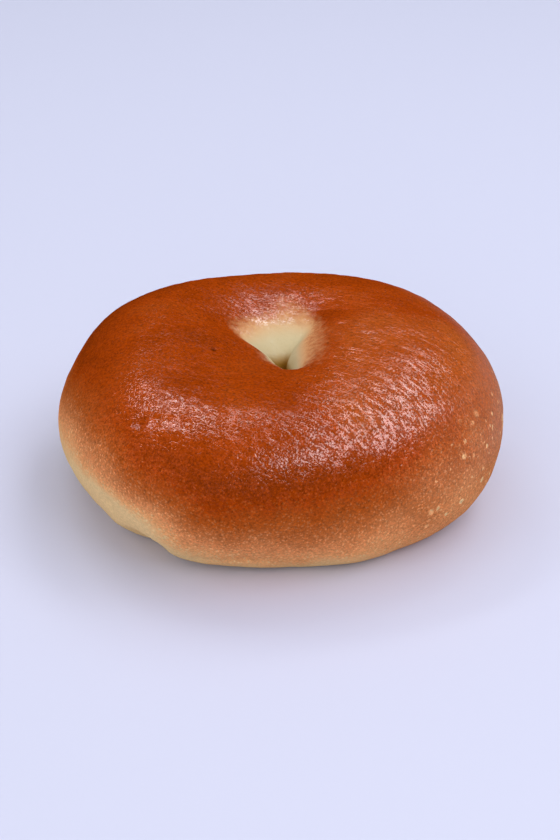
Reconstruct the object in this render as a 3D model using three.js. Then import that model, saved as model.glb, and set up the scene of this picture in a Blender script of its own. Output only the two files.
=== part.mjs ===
// A ring-shaped bun, boiled and then baked as a bagel is. One thick rope of dough is joined into
// a ring. The rise has pressed three lobes of it into the hole, which is a three-sided funnel
// above, a Y-shaped slit below that, and a smaller funnel on the underside.
// Millimetres, +Z up. It stands on its flat base, and the origin is the middle of that base.

import * as THREE from "three";

// Driving sizes, each a mean round the ring
const WIDTH = 115;
const HEIGHT = 44;
const CREST_SHARE = 0.52; // how far out the crest of the ring lies, as a share of the outline
const EQUATOR = 20.6; // height at which the outside is widest
const SINK = 4.9; // how much of the round rope the flat base takes away

// Fullness of each quarter of the rope's section: 2 is an ellipse, and more is squarer
const FULL_SHOULDER = 2.0;
const FULL_FUNNEL = 1.72;
const FULL_UNDERSIDE = 1.8;
const FULL_FOOT = 2.16;

// The hole: its middle, the heights between which it is a slit, and the slit's half width
const HOLE = { x: 1.0, y: 1.0 };
const SLIT_TOP = 32;
const SLIT_BOTTOM = 13;
const SLIT_HALF_WIDTH = 1.5;

// The directions of the three lobes that press into the hole, and the corners between them
const LOBE_TURNS = [107, 214, 358];
const CORNER_SHARPNESS = 6;
const CORNER_START = 0.3; // share of the way down the funnel at which the corners begin
const CORNER_STRETCH = 2.6; // how strongly they then open outwards

// Unevenness, as waves round the ring: { lobes, size, turn }. A size is a share of what it bends,
// and a turn moves the crest of the wave, in degrees of its own phase.
const OUTLINE_WAVES = [
  { lobes: 2, size: 0.011, turn: 23 },
  { lobes: 3, size: 0.004, turn: -24 },
  { lobes: 4, size: 0.033, turn: -103 },
];
const HEIGHT_WAVES = [
  { lobes: 1, size: 0.006, turn: 100 },
  { lobes: 2, size: 0.039, turn: -22 },
];
const CREST_SHARE_WAVES = [{ lobes: 2, size: 0.1, turn: 220 }];
const SHOULDER_WAVES = [{ lobes: 1, size: 0.1, turn: 300 }];
const FUNNEL_WAVES = [{ lobes: 1, size: 0.14, turn: 286 }];
const EQUATOR_WAVES = [
  { lobes: 1, size: 0.243, turn: -33 },
  { lobes: 2, size: 0.267, turn: 101 },
];

// Steps of the mesh: columns round the ring, and rows along each stretch of its section
const COLUMNS = 100;
const ROWS = { shoulder: 11, funnel: 16, slit: 3, underside: 7, base: 3, foot: 9 };

const radians = THREE.MathUtils.degToRad;
const lerp = THREE.MathUtils.lerp;
const QUARTER = Math.PI / 2;

// Sum of waves at one place round the ring.
function waves(terms, around) {
  return terms.reduce((sum, w) => sum + w.size * Math.cos(w.lobes * around - radians(w.turn)), 0);
}

// The sizes of the rope's section at one place round the ring.
function sectionSizes(around) {
  const outside = (WIDTH / 2) * (1 + waves(OUTLINE_WAVES, around));
  return {
    outside,
    crest: outside * CREST_SHARE * (1 + waves(CREST_SHARE_WAVES, around)),
    top: HEIGHT * (1 + waves(HEIGHT_WAVES, around)),
    equator: EQUATOR * (1 + waves(EQUATOR_WAVES, around)),
    shoulderFullness: FULL_SHOULDER * (1 + waves(SHOULDER_WAVES, around)),
    funnelFullness: FULL_FUNNEL * (1 + waves(FUNNEL_WAVES, around)),
  };
}

// A point of a superellipse's quarter, as shares of its half width and half height.
function quarter(fullness, angle) {
  return { across: Math.cos(angle) ** (2 / fullness), up: Math.sin(angle) ** (2 / fullness) };
}

// The angle at which a lower quarter, running down from a height, reaches the base plane.
function angleAtBase(height, fullness) {
  return Math.asin((height / (height + SINK)) ** (fullness / 2));
}

// Outline of the hole between the lobes: 1 at the middle of a lobe, and 1.5 to 3 in a corner.
function cornerShape(around) {
  const pressed = LOBE_TURNS.reduce((sum, turn) => {
    return sum + Math.max(0, Math.cos(around - radians(turn))) ** CORNER_SHARPNESS;
  }, 0);
  return pressed ** (-1 / CORNER_SHARPNESS);
}

// A radius inside the ring, stretched into the corners. The share is 0 at the crest or the base,
// and 1 at the slit, where it is also moved over the hole's middle.
function insidePoint(around, radius, height, share) {
  const stretch = CORNER_STRETCH * Math.max(0, share - CORNER_START);
  const stretched = radius * cornerShape(around) ** stretch;
  const shift = THREE.MathUtils.smoothstep(share, 0, 1);
  const x = stretched * Math.cos(around) + HOLE.x * shift;
  const y = stretched * Math.sin(around) + HOLE.y * shift;
  return [x, y, height];
}

// A point of the outside or the base, straight out from the ring's middle.
function outsidePoint(around, radius, height) {
  return [radius * Math.cos(around), radius * Math.sin(around), height];
}

// The section's points at one place round the ring: from the equator over the crest, down the
// funnel and the slit, out along the base and back up the foot.
function section(around) {
  const s = sectionSizes(around);
  const outerWidth = s.outside - s.crest;
  const innerWidth = s.crest - SLIT_HALF_WIDTH;
  const points = [];

  for (let i = 0; i < ROWS.shoulder; i++) {
    const q = quarter(s.shoulderFullness, (QUARTER * i) / ROWS.shoulder);
    const height = s.equator + q.up * (s.top - s.equator);
    points.push(outsidePoint(around, s.crest + q.across * outerWidth, height));
  }

  for (let i = 0; i < ROWS.funnel; i++) {
    const share = i / ROWS.funnel;
    const q = quarter(s.funnelFullness, QUARTER * (1 - share));
    const height = SLIT_TOP + q.up * (s.top - SLIT_TOP);
    points.push(insidePoint(around, s.crest - q.across * innerWidth, height, share));
  }

  for (let i = 0; i < ROWS.slit; i++) {
    const height = lerp(SLIT_TOP, SLIT_BOTTOM, i / ROWS.slit);
    points.push(insidePoint(around, SLIT_HALF_WIDTH, height, 1));
  }

  const innerEnd = angleAtBase(SLIT_BOTTOM, FULL_UNDERSIDE);
  for (let i = 0; i < ROWS.underside; i++) {
    const share = 1 - i / ROWS.underside;
    const q = quarter(FULL_UNDERSIDE, innerEnd * (1 - share));
    const height = SLIT_BOTTOM - q.up * (SLIT_BOTTOM + SINK);
    points.push(insidePoint(around, s.crest - q.across * innerWidth, height, share));
  }

  const outerEnd = angleAtBase(s.equator, FULL_FOOT);
  const inner = s.crest - quarter(FULL_UNDERSIDE, innerEnd).across * innerWidth;
  const outer = s.crest + quarter(FULL_FOOT, outerEnd).across * outerWidth;
  for (let i = 0; i < ROWS.base; i++) {
    points.push(outsidePoint(around, lerp(inner, outer, i / ROWS.base), 0));
  }

  for (let i = 0; i < ROWS.foot; i++) {
    const q = quarter(FULL_FOOT, outerEnd * (1 - i / ROWS.foot));
    const height = s.equator - q.up * (s.equator + SINK);
    points.push(outsidePoint(around, s.crest + q.across * outerWidth, Math.max(0, height)));
  }
  return points;
}

// The closed skin of the ring: every column's section, joined to the next.
function ringGeometry() {
  const positions = [];
  for (let column = 0; column < COLUMNS; column++) {
    positions.push(...section((2 * Math.PI * column) / COLUMNS).flat());
  }
  const rows = positions.length / 3 / COLUMNS;
  const corner = (column, row) => (column % COLUMNS) * rows + (row % rows);
  const faces = [];
  for (let column = 0; column < COLUMNS; column++) {
    for (let row = 0; row < rows; row++) {
      const a = corner(column, row);
      const b = corner(column + 1, row);
      const c = corner(column + 1, row + 1);
      const d = corner(column, row + 1);
      faces.push(a, b, c, a, c, d);
    }
  }
  const geometry = new THREE.BufferGeometry();
  geometry.setAttribute("position", new THREE.Float32BufferAttribute(positions, 3));
  geometry.setIndex(faces);
  geometry.computeVertexNormals();
  return geometry;
}

const crust = new THREE.MeshStandardMaterial({ color: 0xa85a22, roughness: 0.4, metalness: 0 });

const bun = new THREE.Mesh(ringGeometry(), crust);
bun.name = "bun";

// The outline is uneven, so the ring is moved until the middle of its box is over the origin.
const box = new THREE.Box3().setFromObject(bun);
const middle = box.getCenter(new THREE.Vector3());
bun.position.set(-middle.x, -middle.y, 0);

const part = new THREE.Group();
part.add(bun);

export default part;
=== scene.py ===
import math

import bpy
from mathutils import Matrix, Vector


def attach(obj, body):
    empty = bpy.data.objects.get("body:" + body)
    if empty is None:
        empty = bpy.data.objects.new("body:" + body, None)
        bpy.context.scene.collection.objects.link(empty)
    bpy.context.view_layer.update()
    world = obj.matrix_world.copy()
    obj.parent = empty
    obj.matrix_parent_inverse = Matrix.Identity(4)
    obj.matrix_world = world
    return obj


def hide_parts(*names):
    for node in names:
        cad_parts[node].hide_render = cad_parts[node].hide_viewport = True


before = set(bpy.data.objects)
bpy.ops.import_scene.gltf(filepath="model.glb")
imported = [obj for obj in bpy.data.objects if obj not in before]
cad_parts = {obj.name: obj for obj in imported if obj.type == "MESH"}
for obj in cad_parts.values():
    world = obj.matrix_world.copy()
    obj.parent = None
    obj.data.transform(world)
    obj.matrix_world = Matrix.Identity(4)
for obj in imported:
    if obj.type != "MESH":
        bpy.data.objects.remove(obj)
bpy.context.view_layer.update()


# The camera looks down on the bun from its front. Its height, distance and lens follow from the
# bun's outline, and it is slid a little right and up, so that the bun lies where it should in
# the 560 x 840 frame.
PHOTO_LONG_SIDE = 840
SENSOR_SIZE = 36
FOCAL_PIXELS = 1711
CAMERA_DISTANCE = 0.450
CAMERA_ELEVATION = math.radians(29)
AIM = Vector((0, 0, 0.015))
SLIDE_RIGHT_PIXELS = 2.7
SLIDE_UP_PIXELS = 5.4

metres_per_pixel = CAMERA_DISTANCE / FOCAL_PIXELS
towards_camera = Vector((0, -math.cos(CAMERA_ELEVATION), math.sin(CAMERA_ELEVATION)))
camera_up = Vector((0, math.sin(CAMERA_ELEVATION), math.cos(CAMERA_ELEVATION)))
camera_right = Vector((1, 0, 0))
slide = camera_right * SLIDE_RIGHT_PIXELS + camera_up * SLIDE_UP_PIXELS
bpy.ops.object.camera_add(
    location=AIM + towards_camera * CAMERA_DISTANCE + slide * metres_per_pixel,
    rotation=towards_camera.to_track_quat("Z", "Y").to_euler(),
)
camera = bpy.context.object
camera.data.sensor_width = SENSOR_SIZE
camera.data.lens = FOCAL_PIXELS / PHOTO_LONG_SIDE * SENSOR_SIZE
camera.data.dof.use_dof = False
bpy.context.scene.camera = camera


# The floor is a plain pale sheet, a little cool in colour, under a pale even sky. It fills the
# view from the front. The sky and floor are kept out of the gloss, which mirrors the windows alone.
FLOOR_SIZE = 6
FLOOR_COLOUR = (0.64, 0.65, 0.79, 1)
FLOOR_ROUGHNESS = 0.6
SKY_COLOUR = (0.86, 0.90, 1.0, 1)
SKY_STRENGTH = 0.55
MIRRORED_SKY_STRENGTH = 0.01

bpy.ops.object.select_all(action="DESELECT")
bpy.ops.mesh.primitive_plane_add(size=FLOOR_SIZE, location=(0, 0, 0))
floor = bpy.context.object
floor.name = "floor"
floor_paint = bpy.data.materials.new("pale_floor")
floor_paint.use_nodes = True
floor_shader = floor_paint.node_tree.nodes["Principled BSDF"]
floor_shader.inputs["Base Color"].default_value = FLOOR_COLOUR
floor_shader.inputs["Roughness"].default_value = FLOOR_ROUGHNESS
floor.data.materials.append(floor_paint)
floor.visible_glossy = False

sky = bpy.data.worlds.new("sky")
sky.use_nodes = True
sky_shader = sky.node_tree.nodes["Background"]
sky_shader.inputs["Color"].default_value = SKY_COLOUR
rays = sky.node_tree.nodes.new("ShaderNodeLightPath")
strength = sky.node_tree.nodes.new("ShaderNodeMapRange")
strength.inputs["To Min"].default_value = SKY_STRENGTH
strength.inputs["To Max"].default_value = MIRRORED_SKY_STRENGTH
sky.node_tree.links.new(rays.outputs["Is Glossy Ray"], strength.inputs["Value"])
sky.node_tree.links.new(strength.outputs["Result"], sky_shader.inputs["Strength"])
bpy.context.scene.world = sky
bpy.context.scene.view_settings.view_transform = "Standard"


# Soft windows light the bun and lie as gloss on its skin: three wide panes in a row overhead to
# the right, and two small bright ones high behind it. Two more only fill in the shade.
def window_light(name, towards, distance, size, power, colour, gloss=True):
    bpy.ops.object.light_add(
        type="AREA",
        location=AIM + Vector(towards).normalized() * distance,
        rotation=Vector(towards).to_track_quat("Z", "Y").to_euler(),
    )
    light = bpy.context.object
    light.name = name
    light.data.shape = "RECTANGLE"
    light.data.size, light.data.size_y = size
    light.data.energy = power
    light.data.color = colour
    light.visible_glossy = gloss


DAYLIGHT = (0.95, 0.96, 1.0)
WARM = (1.0, 0.97, 0.93)
window_light("window_overhead", (0.43, 0.0, 0.90), 1.10, (2.00, 0.34), 3.9, DAYLIGHT)
window_light("window_beyond", (0.42, 0.33, 0.84), 1.20, (1.45, 0.30), 2.6, DAYLIGHT)
window_light("window_before", (0.66, -0.30, 0.69), 1.25, (1.30, 0.46), 3.6, DAYLIGHT)
window_light("window_behind", (-0.34, 0.48, 0.81), 1.00, (0.46, 0.10), 1.1, DAYLIGHT)
window_light("window_between", (-0.06, 0.37, 0.93), 1.10, (0.30, 0.16), 0.45, DAYLIGHT)
window_light("fill_at_left", (-0.80, -0.25, 0.60), 1.20, (1.0, 1.0), 2.3, DAYLIGHT, gloss=False)
window_light("fill_in_front", (-0.30, -1.15, 0.35), 1.40, (1.0, 1.0), 5.6, WARM, gloss=False)


# The bun is one rope of wheat dough joined into a ring, boiled, which sets a glossy skin, and
# then baked on a flat tray. The rise has closed its hole to a slit at the foot of a funnel. It
# starts as a ring in the rope's core, whose skin is pressed out to the bun's form and refined.
HOLE_X = 0.0008
HOLE_Y = 0.0010
CORE_RADIUS = 0.029
CORE_HEIGHT = 0.020
CORE_THICKNESS = 0.004
STEPS_ROUND = 120
STEPS_ROUND_ROPE = 52

bpy.ops.object.select_all(action="DESELECT")
bpy.ops.mesh.primitive_torus_add(
    location=(HOLE_X, HOLE_Y, CORE_HEIGHT),
    major_segments=STEPS_ROUND,
    minor_segments=STEPS_ROUND_ROPE,
    major_radius=CORE_RADIUS,
    minor_radius=CORE_THICKNESS,
    generate_uvs=False,
)
bun = bpy.context.object
bun.name = "bagel"
bpy.ops.object.transform_apply(location=True, rotation=True, scale=True)


def finish_modifier(name, kind, **settings):
    modifier = bun.modifiers.new(name, kind)
    for setting, value in settings.items():
        setattr(modifier, setting, value)
    bpy.ops.object.modifier_apply(modifier=name)


finish_modifier(
    "press_to_form",
    "SHRINKWRAP",
    target=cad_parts["bun"],
    wrap_method="PROJECT",
    use_negative_direction=False,
    use_positive_direction=True,
)
finish_modifier("refine", "SUBSURF", levels=2, render_levels=2)


def tug(place, move, radius):
    """Moves the skin at a place, and softly over a radius round it, as a thumb would."""
    bpy.ops.object.mode_set(mode="EDIT")
    bpy.ops.mesh.select_mode(type="VERT")
    bpy.ops.mesh.select_all(action="DESELECT")
    bpy.ops.object.mode_set(mode="OBJECT")
    nearest = min(bun.data.vertices, key=lambda vertex: (vertex.co - Vector(place)).length)
    nearest.select = True
    bpy.ops.object.mode_set(mode="EDIT")
    bpy.ops.transform.translate(
        value=move,
        use_proportional_edit=True,
        proportional_edit_falloff="SMOOTH",
        proportional_size=radius,
    )
    bpy.ops.object.mode_set(mode="OBJECT")


# The rope's end shows low at the left as a pale lobe. Its foot is clear of the tray, it ends in
# a notch and there is a tuck over it.
LOBE_FOOT = (-0.0356, -0.0422, 0.0)
LOBE_END = (-0.0384, -0.0402, 0.0060)
NOTCH = (-0.0316, -0.0452, 0.0050)
TUCK = (-0.0415, -0.0402, 0.0156)
tug(LOBE_FOOT, move=(0.0006, 0.0018, 0.0016), radius=0.011)
tug(LOBE_END, move=(-0.0004, -0.0006, -0.0002), radius=0.0060)
tug(NOTCH, move=(0.0010, 0.0024, 0.0016), radius=0.0042)
tug(TUCK, move=(0.0006, 0.0006, 0.0), radius=0.004)

# The front of the foot is drawn in a little. The shoulder at the back left is fuller, and so is
# the foot at the front right.
FRONT_FOOT = (-0.0050, -0.0500, 0.0045)
BACK_LEFT_SHOULDER = (-0.0420, 0.0220, 0.0330)
FRONT_RIGHT_FOOT = (0.0210, -0.0480, 0.0060)
tug(FRONT_FOOT, move=(0.0, 0.0011, 0.0004), radius=0.024)
tug(BACK_LEFT_SHOULDER, move=(-0.0008, 0.0007, 0.0003), radius=0.020)
tug(FRONT_RIGHT_FOOT, move=(0.0003, -0.0011, -0.0004), radius=0.014)

# A crease runs low along the front of the foot, and a short one at the left of the crest. Each
# is a row of places with the depth that the skin is drawn in there.
FOOT_CREASE = (
    ((-0.0186, -0.0490, 0.0047), 0.0010),
    ((-0.0150, -0.0503, 0.0052), 0.0013),
    ((-0.0113, -0.0515, 0.0057), 0.0013),
    ((-0.0075, -0.0516, 0.0057), 0.0013),
    ((-0.0036, -0.0516, 0.0056), 0.0010),
)
CREST_CREASE = (
    ((-0.0314, -0.0393, 0.0381), 0.0005),
    ((-0.0280, -0.0402, 0.0386), 0.0006),
    ((-0.0247, -0.0412, 0.0392), 0.0006),
    ((-0.0213, -0.0421, 0.0397), 0.0005),
)
FOOT_CREASE_RADIUS = 0.0026
CREST_CREASE_RADIUS = 0.0028
for crease_place, depth in FOOT_CREASE:
    tug(crease_place, move=(0.0, depth, 0.0), radius=FOOT_CREASE_RADIUS)
for crease_place, depth in CREST_CREASE:
    tug(crease_place, move=(0.0, 0.0, -depth), radius=CREST_CREASE_RADIUS)

# A small pit in front of the funnel
PIT = Vector((-0.0158, -0.0110, 0.0430))
tug(PIT, move=(0.0, 0.0, -0.0003), radius=0.0020)


# The skin was drawn together in wrinkles on the top alone, and deeper towards the right
WRINKLES_START = 0.027
WRINKLES_FULL = 0.037
WRINKLES_AT_MIDDLE = 0.75
WRINKLES_MORE_PER_METRE = 8.0
top_skin = bun.vertex_groups.new(name="top_skin")
for vertex in bun.data.vertices:
    share = (vertex.co.z - WRINKLES_START) / (WRINKLES_FULL - WRINKLES_START)
    share = min(max(share, 0.0), 1.0)
    share *= WRINKLES_AT_MIDDLE + WRINKLES_MORE_PER_METRE * vertex.co.x
    top_skin.add([vertex.index], min(share, 1.0), "REPLACE")


# The grey of a cloud pattern that leaves the skin where it is
UNMOVED_GREY = 0.46


def press_relief(name, grain, depth, kind="SOFT_NOISE", turn=0.0, skin=""):
    """Moves the skin along its normals by a cloud pattern, with a size of grain each way."""
    clouds = bpy.data.textures.new(name, "CLOUDS")
    clouds.noise_type = kind
    clouds.noise_scale = 1.0
    clouds.noise_depth = 1
    guide = bpy.data.objects.new("guide", None)
    guide.scale = grain
    guide.rotation_euler = (0, 0, math.radians(turn))
    bpy.context.collection.objects.link(guide)
    finish_modifier(
        name,
        "DISPLACE",
        texture=clouds,
        texture_coords="OBJECT",
        texture_coords_object=guide,
        vertex_group=skin,
        mid_level=UNMOVED_GREY,
        strength=depth,
    )
    bpy.data.objects.remove(guide)


LUMPS = (0.016, 0.016, 0.016)
DIMPLES = (0.005, 0.005, 0.005)
FOLDS = (0.012, 0.0040, 0.006)
WRINKLES = (0.007, 0.0022, 0.004)
press_relief("dough_lumps", LUMPS, depth=0.0004)
press_relief("skin_dimples", DIMPLES, depth=0.0003)
press_relief("long_folds", FOLDS, depth=0.00026, turn=-30, skin="top_skin")
press_relief("wrinkles", WRINKLES, depth=0.00024, kind="HARD_NOISE", turn=-32, skin="top_skin")

# The tray keeps the base flat
bpy.ops.object.mode_set(mode="EDIT")
bpy.ops.mesh.select_all(action="DESELECT")
bpy.ops.object.mode_set(mode="OBJECT")
for vertex in bun.data.vertices:
    vertex.select = vertex.co.z < 0
bpy.ops.object.mode_set(mode="EDIT")
bpy.ops.transform.resize(value=(1, 1, 0), center_override=(0, 0, 0))
bpy.ops.object.mode_set(mode="OBJECT")
bpy.ops.object.shade_smooth()

# The crust's colours, from unbaked dough to the darkest brown, then the unbrowned dough in the
# funnel, from its lip to its foot, and the dark olive painted as shade deep in the slit
CREAM = (0.77, 0.53, 0.26, 1)
BUFF = (0.77, 0.355, 0.14, 1)
TAN = (0.66, 0.245, 0.09, 1)
GOLDEN = (0.47, 0.137, 0.038, 1)
RUST = (0.395, 0.080, 0.011, 1)
BROWN = (0.332, 0.043, 0.0015, 1)
DARK = (0.215, 0.029, 0.001, 1)
FUNNEL_LIP = (0.68, 0.345, 0.145, 1)
FUNNEL_DEEP = (0.58, 0.48, 0.28, 1)
SLIT_SHADE_OLIVE = (0.44, 0.22, 0.03, 1)

crust = bpy.data.materials.new("baked_crust")
crust.use_nodes = True
tree = crust.node_tree
shader = tree.nodes["Principled BSDF"]


def feed(socket, value):
    if isinstance(value, bpy.types.NodeSocket):
        tree.links.new(value, socket)
    else:
        socket.default_value = value


def calc(operation, *values, clamp=False):
    node = tree.nodes.new("ShaderNodeMath")
    node.operation = operation
    node.use_clamp = clamp
    for socket, value in zip(node.inputs, values):
        feed(socket, value)
    return node.outputs["Value"]


def total(*values):
    result = values[0]
    for value in values[1:]:
        result = calc("ADD", result, value)
    return result


def times(*values):
    result = values[0]
    for value in values[1:]:
        result = calc("MULTIPLY", result, value)
    return result


def without(mask):
    return calc("SUBTRACT", 1, mask)


def fade(value, start, end):
    """0 where the value is at start, 1 where it is at end, and smooth between them."""
    node = tree.nodes.new("ShaderNodeMapRange")
    node.interpolation_type = "SMOOTHSTEP"
    feed(node.inputs["Value"], value)
    feed(node.inputs["From Min"], start)
    feed(node.inputs["From Max"], end)
    return node.outputs["Result"]


def stretch(vector, grain, turn=0.0):
    """The vector in units of the grain, whose size each way is given, along turned axes."""
    node = tree.nodes.new("ShaderNodeMapping")
    node.vector_type = "TEXTURE"
    feed(node.inputs["Vector"], vector)
    node.inputs["Scale"].default_value = grain
    node.inputs["Rotation"].default_value = (0, 0, math.radians(turn))
    return node.outputs["Vector"]


NOISE_MEAN = 0.5


def noise(vector, grain, detail=2.0, roughness=0.5, distortion=0.0):
    """Cloudy values about 0, with lumps of about one grain, in the vector's own units."""
    node = tree.nodes.new("ShaderNodeTexNoise")
    feed(node.inputs["Vector"], vector)
    node.inputs["Scale"].default_value = 1 / grain
    node.inputs["Detail"].default_value = detail
    node.inputs["Roughness"].default_value = roughness
    node.inputs["Distortion"].default_value = distortion
    return calc("SUBTRACT", node.outputs["Fac"], NOISE_MEAN)


# The share of a spot's radius within which it is whole
SPOT_CORE = 0.45


def spots(vector, grain, smallest, largest):
    """1 on round spots scattered one grain apart, of uneven radius, given as shares of it."""
    node = tree.nodes.new("ShaderNodeTexVoronoi")
    feed(node.inputs["Vector"], vector)
    node.inputs["Scale"].default_value = 1 / grain
    split = tree.nodes.new("ShaderNodeSeparateColor")
    feed(split.inputs["Color"], node.outputs["Color"])
    chance = times(split.outputs["Red"], split.outputs["Green"], largest - smallest)
    radius = total(smallest, chance)
    return fade(node.outputs["Distance"], radius, times(radius, SPOT_CORE))


def blend(share, first, second):
    """The first colour where the share is 0, and the second where it is 1."""
    node = tree.nodes.new("ShaderNodeMix")
    node.data_type = "RGBA"
    sockets = {socket.identifier: socket for socket in node.inputs}
    feed(sockets["Factor_Float"], share)
    feed(sockets["A_Color"], first)
    feed(sockets["B_Color"], second)
    return next(socket for socket in node.outputs if socket.identifier == "Result_Color")


# Places on the bun in millimetres. All sizes and heights below are in them too.
MM_PER_METRE = 1000
MM = 1 / MM_PER_METRE
place = stretch(tree.nodes.new("ShaderNodeTexCoord").outputs["Object"], (MM, MM, MM))
along = tree.nodes.new("ShaderNodeSeparateXYZ")
feed(along.inputs["Vector"], place)
x, y, z = along.outputs
hole_x = calc("SUBTRACT", x, HOLE_X * MM_PER_METRE)
hole_y = calc("SUBTRACT", y, HOLE_Y * MM_PER_METRE)
from_hole = calc("SQRT", total(calc("POWER", hole_x, 2), calc("POWER", hole_y, 2)))

# How far the crust has browned, from 0 to 1. It is pale at the foot and browns steadily up the
# sides, later at the left and more slowly at the right. The lobe is the palest.
FOOT_BROWNING = 0.2
FOOT_HEIGHT = 6.7
BROWNING_PER_MM = 0.035
SIDE_LIMIT = 0.97
PATCH_SIZE = 14
patches = noise(place, PATCH_SIZE, detail=3)
right_side = fade(x, 10, 50)
late = times(fade(x, -12, -48), total(7, times(fade(y, 10, -30), 8)))
slow = times(right_side, 0.74)
climb = calc("SUBTRACT", z, total(FOOT_HEIGHT, late))
side = total(FOOT_BROWNING, times(climb, BROWNING_PER_MM, without(slow)), times(patches, 0.35))
side = total(side, times(right_side, 0.14))
lobe = times(fade(x, -22, -35), fade(y, -24, -38), fade(z, 25, 14))
side = calc("SUBTRACT", side, times(lobe, 0.22))
side = calc("MINIMUM", calc("MAXIMUM", side, 0), SIDE_LIMIT)

# The crown is brown all over, painted a little darker behind at the left as shade, painted lighter
# at the right of the funnel as sheen, and a little lighter towards the far right
CROWN_BROWNING = 0.86
on_top = fade(z, 29, 40)
painted_shade_behind_left = fade(calc("SUBTRACT", y, times(x, 0.7)), 30, 60)
painted_sheen_right_of_funnel = times(fade(x, 6, 20), fade(y, 12, -2))
crown = total(CROWN_BROWNING, times(patches, 0.30), times(painted_shade_behind_left, 0.10))
crown = total(crown, times(painted_sheen_right_of_funnel, -0.11), times(fade(x, 34, 50), -0.10))
browned = total(times(side, without(on_top)), times(crown, on_top))

# The oven's heat doesn't reach down the funnel. The brown ends at a ragged rim, which is lowest
# at the front left and highest at the right.
RIM_HEIGHT = 42.1
RIM_DEPTH = 4.2
RIM_RAGGEDNESS = 3.2
RIM_GRAIN = 1.5
front_left = fade(total(times(hole_x, -0.45), times(hole_y, -0.90)), 0, 5)
front_left = times(front_left, fade(hole_x, 6, 1))
back_right = fade(total(times(hole_x, 0.9), times(hole_y, 0.25)), 8.5, 14)
back_right = times(back_right, fade(hole_y, 5, 12))
right = times(fade(hole_x, 5, 11), fade(hole_y, 7, 0))
left = fade(total(times(hole_x, -0.9), times(hole_y, 0.3)), 9, 14)
left = times(left, fade(hole_y, 14, 9))
back_left = times(fade(hole_x, 2, -4), fade(hole_y, 10, 15))
rim = total(RIM_HEIGHT, times(front_left, -3.6), times(back_right, -1.6), times(patches, 2.0))
rim = total(rim, times(right, 1.0), times(left, -0.5), times(back_left, -1.2))
rim = total(rim, times(noise(place, RIM_GRAIN, detail=3, roughness=0.6), RIM_RAGGEDNESS))
funnel = times(fade(from_hole, 27, 20), fade(z, rim, calc("SUBTRACT", rim, RIM_DEPTH)))

# Pale pinprick blisters: thick on the sides and few on top, with some large ones at the right.
# They are a little out of round, as is the darker spot at the pit.
WOBBLE_GRAIN = 0.6
PINPRICK_GRAIN = 0.72
LARGE_GRAIN = 2.9
on_sides = fade(z, 41, 28)
wobble = tree.nodes.new("ShaderNodeTexNoise")
feed(wobble.inputs["Vector"], place)
wobble.inputs["Scale"].default_value = 1 / WOBBLE_GRAIN
warped = tree.nodes.new("ShaderNodeVectorMath")
warped.operation = "ADD"
feed(warped.inputs[0], place)
feed(warped.inputs[1], wobble.outputs["Color"])
pinpricks = spots(warped.outputs["Vector"], PINPRICK_GRAIN, smallest=0.25, largest=0.85)
pinpricks = times(pinpricks, total(0.20, times(on_sides, 0.80)), without(funnel))
large = spots(warped.outputs["Vector"], LARGE_GRAIN, smallest=0.08, largest=0.62)
large = times(large, fade(x, 28, 44), on_sides)
to_pit = tree.nodes.new("ShaderNodeVectorMath")
to_pit.operation = "DISTANCE"
feed(to_pit.inputs[0], warped.outputs["Vector"])
to_pit.inputs[1].default_value = PIT * MM_PER_METRE + Vector((NOISE_MEAN, NOISE_MEAN, NOISE_MEAN))
pit = fade(to_pit.outputs["Value"], 1.3, 0.4)

# The crust is speckled grain by grain, and less so where it is pale and in the funnel
SPECKLE_GRAIN = 0.65
mottled = total(0.30, times(fade(browned, 0.05, 0.45), 0.70))
speckle = noise(place, SPECKLE_GRAIN, detail=2, roughness=0.75)
speckle = times(speckle, without(times(funnel, 0.8)), mottled)
browned = total(browned, times(pinpricks, -0.15), times(large, -0.42), times(speckle, 0.2))

# Browning turns the cream of unbaked dough into the darkest brown by way of these colours
BROWNING_COLOURS = ((0.2, BUFF), (0.35, TAN), (0.5, GOLDEN), (0.65, RUST), (0.85, BROWN))
ramp = tree.nodes.new("ShaderNodeValToRGB")
stops = ramp.color_ramp.elements
stops[0].position = 0.0
stops[0].color = CREAM
stops[1].position = 1.0
stops[1].color = DARK
for position, colour in BROWNING_COLOURS:
    stops.new(position).color = colour
feed(ramp.inputs["Fac"], browned)

# The crust itself is dull, under a thin glossy skin on top that thins out down the sides
CRUST_ROUGHNESS = 0.7
SKIN_ROUGHNESS = 0.14
SKIN_REFRACTION = 2.4
shader.inputs["Roughness"].default_value = CRUST_ROUGHNESS
shader.inputs["Specular IOR Level"].default_value = 0.0
shader.inputs["Coat Roughness"].default_value = SKIN_ROUGHNESS
shader.inputs["Coat IOR"].default_value = SKIN_REFRACTION

# The skin was drawn together in wrinkles that run at a slant, with finer threads at the right of
# the top. Between the wrinkles are creases.
WRINKLE_SIZE = (3.6, 1.0, 2.0)
WRINKLE_TURN = -30
THREAD_SIZE = (7.0, 0.65, 1.6)
THREAD_TURN = -40
GRAIN_SIZE = 0.45
PEBBLE_SIZE = 1.1
drawn = stretch(place, WRINKLE_SIZE, WRINKLE_TURN)
folds = noise(drawn, 1.0, detail=2, roughness=0.6, distortion=0.1)
threads = noise(stretch(place, THREAD_SIZE, THREAD_TURN), 1.0, detail=1, distortion=0.1)
folds = total(folds, times(threads, fade(x, 4, 22), fade(z, 30, 37), 0.9))
creases = fade(calc("ABSOLUTE", folds), 0.07, 0.0)
grain = noise(place, GRAIN_SIZE, detail=2, roughness=0.6)
pebbles = noise(place, PEBBLE_SIZE, detail=1)

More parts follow.
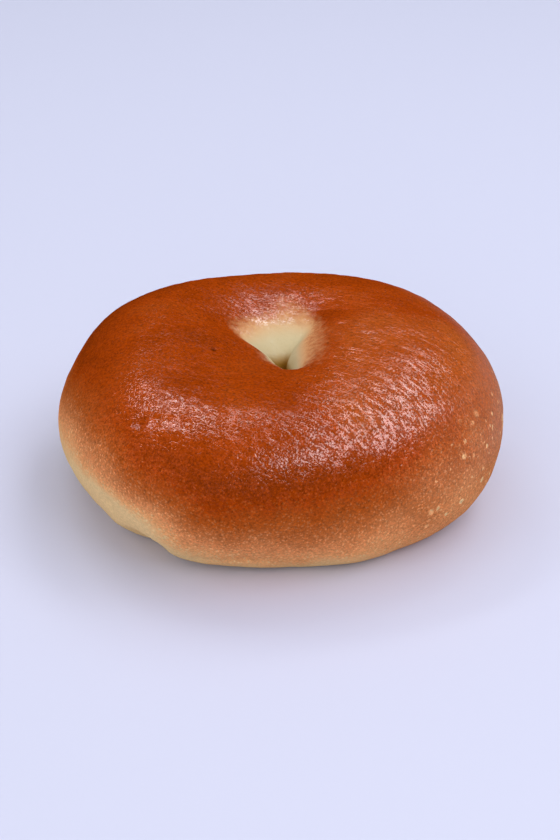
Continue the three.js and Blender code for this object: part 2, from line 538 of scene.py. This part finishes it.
# The gloss is worn unevenly, and brightest on the ridges of the wrinkles. It lasts best on the
# funnel's back wall, at the left and low at the front right.
WEAR_SIZE = 6
top = fade(total(z, times(fade(x, 20, 50), 6)), 20, 33)
back_wall = times(fade(from_hole, 26, 21), fade(hole_y, 8, 14))
front_right = times(fade(x, 20, 28), fade(y, -35, -41))
worn = total(0.62, times(noise(place, WEAR_SIZE, detail=4), 1.8), times(back_wall, 1.3))
worn = total(worn, times(front_right, 0.40), times(fade(x, -22, -33), 0.40))
ridges = fade(total(folds, times(grain, 1.6)), -0.04, 0.16)

# It is dull at the left behind the front, on the front's crest as far as the funnel, in the
# funnel's back right corner, along the back, and on unbrowned dough
dull_left = times(fade(x, 2, -14), fade(calc("SUBTRACT", y, times(x, 0.3)), -21, -6), 0.80)
dull_inside = times(fade(from_hole, 45, 39), fade(x, 14, 2), fade(y, 0, -8), 0.85)
dull_corner = times(fade(from_hole, 20, 17), fade(hole_y, 7, 11), fade(hole_x, 2, 5), 0.90)
dull_behind = times(fade(y, 21, 27), 0.70)
dull = calc("MAXIMUM", dull_left, dull_inside)
dull = calc("MAXIMUM", dull, calc("MAXIMUM", dull_corner, dull_behind))
matt = times(funnel, fade(z, 41.5, 37.5), 0.9)
gloss = times(top, without(matt), without(pit), without(dull), worn)
gloss = times(gloss, total(0.08, times(ridges, 1.5)))
feed(shader.inputs["Coat Weight"], calc("ADD", 0.0, gloss, clamp=True))

# Up the right side the skin is dry and has a faint bloom
BLOOM = 0.16
BLOOM_ROUGHNESS = 0.5
BLOOM_COLOUR = (1.0, 0.90, 0.93, 1)
shader.inputs["Sheen Roughness"].default_value = BLOOM_ROUGHNESS
shader.inputs["Sheen Tint"].default_value = BLOOM_COLOUR
bloom = times(fade(x, 20, 42), fade(z, 15, 27), fade(z, 42, 36), BLOOM)
feed(shader.inputs["Sheen Weight"], bloom)

# Relief finer than the mesh: the wrinkles, the grain of the crust and its blisters
height = total(times(folds, 0.09), times(creases, -0.02), times(grain, 0.09), times(pebbles, 0.12))
height = total(height, times(pinpricks, 0.02), times(large, 0.1))
bump = tree.nodes.new("ShaderNodeBump")
bump.inputs["Strength"].default_value = 1.0
bump.inputs["Distance"].default_value = MM
feed(bump.inputs["Height"], times(height, without(times(funnel, 0.6))))
feed(shader.inputs["Normal"], bump.outputs["Normal"])
feed(shader.inputs["Coat Normal"], bump.outputs["Normal"])

# Grains of crust differ in tone. The pit is painted darker, the creases between wrinkles are
# painted darker as shade, and glossy places are painted lighter as sheen.
PLAIN_TONE = 0.94
PAINTED_SHEEN_LIMIT = 1.3
tone_shade_and_sheen = total(PLAIN_TONE, times(speckle, 2.0), times(creases, top, without(funnel), -0.12))
tone_shade_and_sheen = times(tone_shade_and_sheen, without(times(pit, 0.55)))
tone_shade_and_sheen = total(tone_shade_and_sheen, times(calc("MINIMUM", gloss, PAINTED_SHEEN_LIMIT), 0.48))
crust_with_shade_and_sheen = tree.nodes.new("ShaderNodeVectorMath")
crust_with_shade_and_sheen.operation = "SCALE"
feed(crust_with_shade_and_sheen.inputs[0], ramp.outputs["Color"])
feed(crust_with_shade_and_sheen.inputs["Scale"], tone_shade_and_sheen)

# The funnel pales from its lip to its foot, and the slit below it is painted a dark olive as shade
slit_shade = times(fade(from_hole, 12, 8), fade(z, 34.5, 31.0))
funnel_colour = blend(fade(z, 40.0, 36.0), FUNNEL_LIP, FUNNEL_DEEP)
baked = blend(funnel, crust_with_shade_and_sheen.outputs["Vector"], funnel_colour)
feed(shader.inputs["Base Color"], blend(slit_shade, baked, SLIT_SHADE_OLIVE))
bun.data.materials.append(crust)

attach(bun, "root")
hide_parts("bun")
